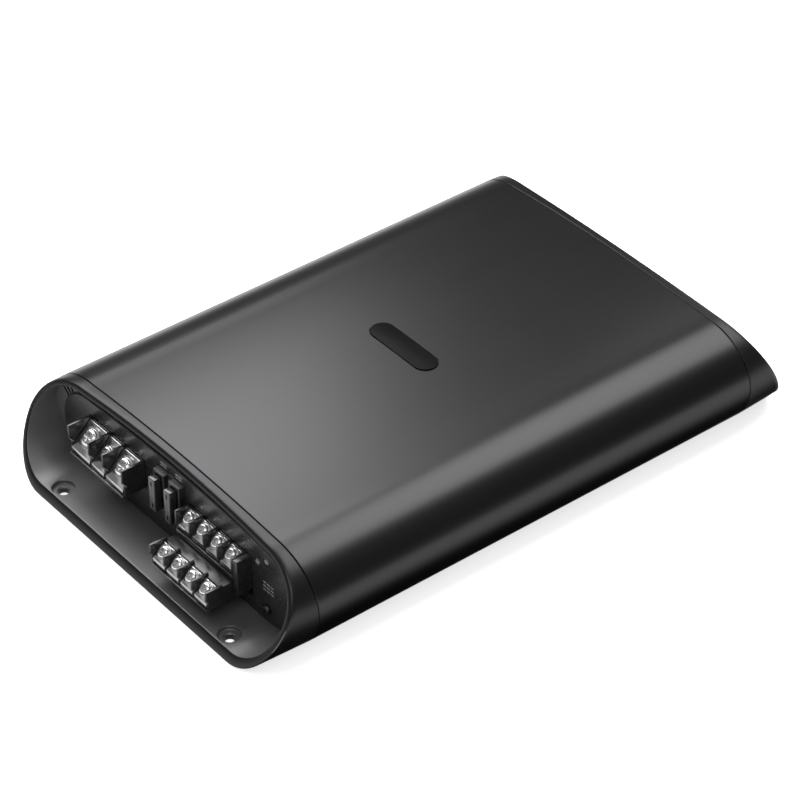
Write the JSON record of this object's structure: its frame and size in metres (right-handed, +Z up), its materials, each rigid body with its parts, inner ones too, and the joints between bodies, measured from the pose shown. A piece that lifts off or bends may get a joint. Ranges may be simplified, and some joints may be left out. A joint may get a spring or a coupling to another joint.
{
  "type": "car amplifier",
  "caption": "Slim oval aluminium car amplifier with slanted end caps, angled screw terminals, blade fuses and a phono input panel behind the far cap",
  "frame": {"origin": "centre of the underside's bounding box, on the surface that the amplifier is screwed to", "axes": "+X to the right of someone facing the terminals from -Y; +Y from the terminal end to the input end along the extrusion; +Z up, away from the mounting surface"},
  "size_m": [0.213, 0.335, 0.0574],
  "materials": {
    "anodised_grey": "satin dark grey anodised extrusion",
    "cap_grey": "satin dark grey painted casting",
    "panel_black": "semi-gloss black moulding",
    "black_plastic": "black terminal moulding",
    "switch_plastic": "light grey nylon",
    "fuse_plastic": "smoke tinted moulding",
    "nickel": "bright nickel plating",
    "screw_steel": "bright zinc plating",
    "badge_gloss": "high-gloss black",
    "board_green": "green glass-epoxy laminate",
    "capacitor_sleeve": "dark blue shrink sleeve over an aluminium can",
    "copper_winding": "enamelled copper wire",
    "raw_aluminium": "plain extruded",
    "lamp_clear": "clear light pipe"
  },
  "bodies": {
    "chassis": {"heatsink_sleeve": "anodised_grey", "front_end_cap": "cap_grey", "rear_end_cap": "cap_grey", "terminal_panel": "panel_black", "input_panel": "panel_black", "top_badge": "badge_gloss", "circuit_board": "board_green", "fuse_holder": "black_plastic", "power_lamp": "lamp_clear", "fault_lamp": "lamp_clear", "power_toroid": "copper_winding", "output_choke_1": "copper_winding", "output_choke_2": "copper_winding", "heat_bar_left": "raw_aluminium", "heat_bar_right": "raw_aluminium", "power_housing": "black_plastic", "speaker_upper_housing": "black_plastic", "speaker_lower_housing": "black_plastic", "front_panel_screw_left": "screw_steel", "front_panel_screw_right": "screw_steel", "rear_panel_screw_left": "screw_steel", "rear_panel_screw_right": "screw_steel", "capacitor_1": "capacitor_sleeve", "rca_jack_1": "nickel", "speaker_upper_plate_1": "nickel", "speaker_lower_plate_1": "nickel", "capacitor_2": "capacitor_sleeve", "rca_jack_2": "nickel", "speaker_upper_plate_2": "nickel", "speaker_lower_plate_2": "nickel", "capacitor_3": "capacitor_sleeve", "rca_jack_3": "nickel", "speaker_upper_plate_3": "nickel", "speaker_lower_plate_3": "nickel", "capacitor_4": "capacitor_sleeve", "rca_jack_4": "nickel", "speaker_upper_plate_4": "nickel", "speaker_lower_plate_4": "nickel", "power_plate_1": "nickel", "power_plate_2": "nickel", "power_plate_3": "nickel"},
    "fuse_left": {"fuse_left": "fuse_plastic"},
    "fuse_right": {"fuse_right": "fuse_plastic"},
    "level_knob_1": {"level_knob_1": "black_plastic"},
    "level_knob_2": {"level_knob_2": "black_plastic"},
    "level_knob_3": {"level_knob_3": "black_plastic"},
    "slide_switch_1": {"slide_switch_1": "switch_plastic"},
    "slide_switch_2": {"slide_switch_2": "switch_plastic"},
    "power_screw_1": {"power_screw_1": "screw_steel"},
    "power_screw_2": {"power_screw_2": "screw_steel"},
    "power_screw_3": {"power_screw_3": "screw_steel"},
    "speaker_upper_screw_1": {"speaker_upper_screw_1": "screw_steel"},
    "speaker_upper_screw_2": {"speaker_upper_screw_2": "screw_steel"},
    "speaker_upper_screw_3": {"speaker_upper_screw_3": "screw_steel"},
    "speaker_upper_screw_4": {"speaker_upper_screw_4": "screw_steel"},
    "speaker_lower_screw_1": {"speaker_lower_screw_1": "screw_steel"},
    "speaker_lower_screw_2": {"speaker_lower_screw_2": "screw_steel"},
    "speaker_lower_screw_3": {"speaker_lower_screw_3": "screw_steel"},
    "speaker_lower_screw_4": {"speaker_lower_screw_4": "screw_steel"}
  },
  "joints": [
    {"name": "fuse_left_pull", "type": "slide", "parent": "chassis", "child": "fuse_left", "axis": [0, -1, 0], "range_m": [0, 0.024]},
    {"name": "fuse_right_pull", "type": "slide", "parent": "chassis", "child": "fuse_right", "axis": [0, -1, 0], "range_m": [0, 0.024]},
    {"name": "level_knob_1_turn", "type": "hinge", "parent": "chassis", "child": "level_knob_1", "pos_m": [0.018, 0.139, 0.032], "axis": [0, 1, 0], "range_deg": [-135, 135]},
    {"name": "level_knob_2_turn", "type": "hinge", "parent": "chassis", "child": "level_knob_2", "pos_m": [0.036, 0.139, 0.032], "axis": [0, 1, 0], "range_deg": [-135, 135]},
    {"name": "level_knob_3_turn", "type": "hinge", "parent": "chassis", "child": "level_knob_3", "pos_m": [0.054, 0.139, 0.032], "axis": [0, 1, 0], "range_deg": [-135, 135]},
    {"name": "slide_switch_1_slide", "type": "slide", "parent": "chassis", "child": "slide_switch_1", "axis": [1, 0, 0], "range_m": [0, 0.003]},
    {"name": "slide_switch_2_slide", "type": "slide", "parent": "chassis", "child": "slide_switch_2", "axis": [1, 0, 0], "range_m": [0, 0.003]},
    {"name": "power_screw_1_turn", "type": "hinge", "parent": "chassis", "child": "power_screw_1", "pos_m": [-0.0603, -0.1452, 0.0348], "axis": [0, -0.7071, 0.7071], "continuous": true},
    {"name": "power_screw_2_turn", "type": "hinge", "parent": "chassis", "child": "power_screw_2", "pos_m": [-0.0458, -0.1452, 0.0348], "axis": [0, -0.7071, 0.7071], "continuous": true},
    {"name": "power_screw_3_turn", "type": "hinge", "parent": "chassis", "child": "power_screw_3", "pos_m": [-0.03185, -0.1452, 0.0348], "axis": [0, -0.7071, 0.7071], "continuous": true},
    {"name": "speaker_upper_screw_1_turn", "type": "hinge", "parent": "chassis", "child": "speaker_upper_screw_1", "pos_m": [0.01875, -0.14275, 0.03455], "axis": [0, -0.7071, 0.7071], "continuous": true},
    {"name": "speaker_upper_screw_2_turn", "type": "hinge", "parent": "chassis", "child": "speaker_upper_screw_2", "pos_m": [0.02985, -0.14275, 0.03455], "axis": [0, -0.7071, 0.7071], "continuous": true},
    {"name": "speaker_upper_screw_3_turn", "type": "hinge", "parent": "chassis", "child": "speaker_upper_screw_3", "pos_m": [0.04095, -0.14275, 0.03455], "axis": [0, -0.7071, 0.7071], "continuous": true},
    {"name": "speaker_upper_screw_4_turn", "type": "hinge", "parent": "chassis", "child": "speaker_upper_screw_4", "pos_m": [0.05205, -0.14275, 0.03455], "axis": [0, -0.7071, 0.7071], "continuous": true},
    {"name": "speaker_lower_screw_1_turn", "type": "hinge", "parent": "chassis", "child": "speaker_lower_screw_1", "pos_m": [0.01875, -0.15805, 0.02175], "axis": [0, -0.7071, 0.7071], "continuous": true},
    {"name": "speaker_lower_screw_2_turn", "type": "hinge", "parent": "chassis", "child": "speaker_lower_screw_2", "pos_m": [0.02985, -0.15805, 0.02175], "axis": [0, -0.7071, 0.7071], "continuous": true},
    {"name": "speaker_lower_screw_3_turn", "type": "hinge", "parent": "chassis", "child": "speaker_lower_screw_3", "pos_m": [0.04095, -0.15805, 0.02175], "axis": [0, -0.7071, 0.7071], "continuous": true},
    {"name": "speaker_lower_screw_4_turn", "type": "hinge", "parent": "chassis", "child": "speaker_lower_screw_4", "pos_m": [0.05205, -0.15805, 0.02175], "axis": [0, -0.7071, 0.7071], "continuous": true}
  ]
}
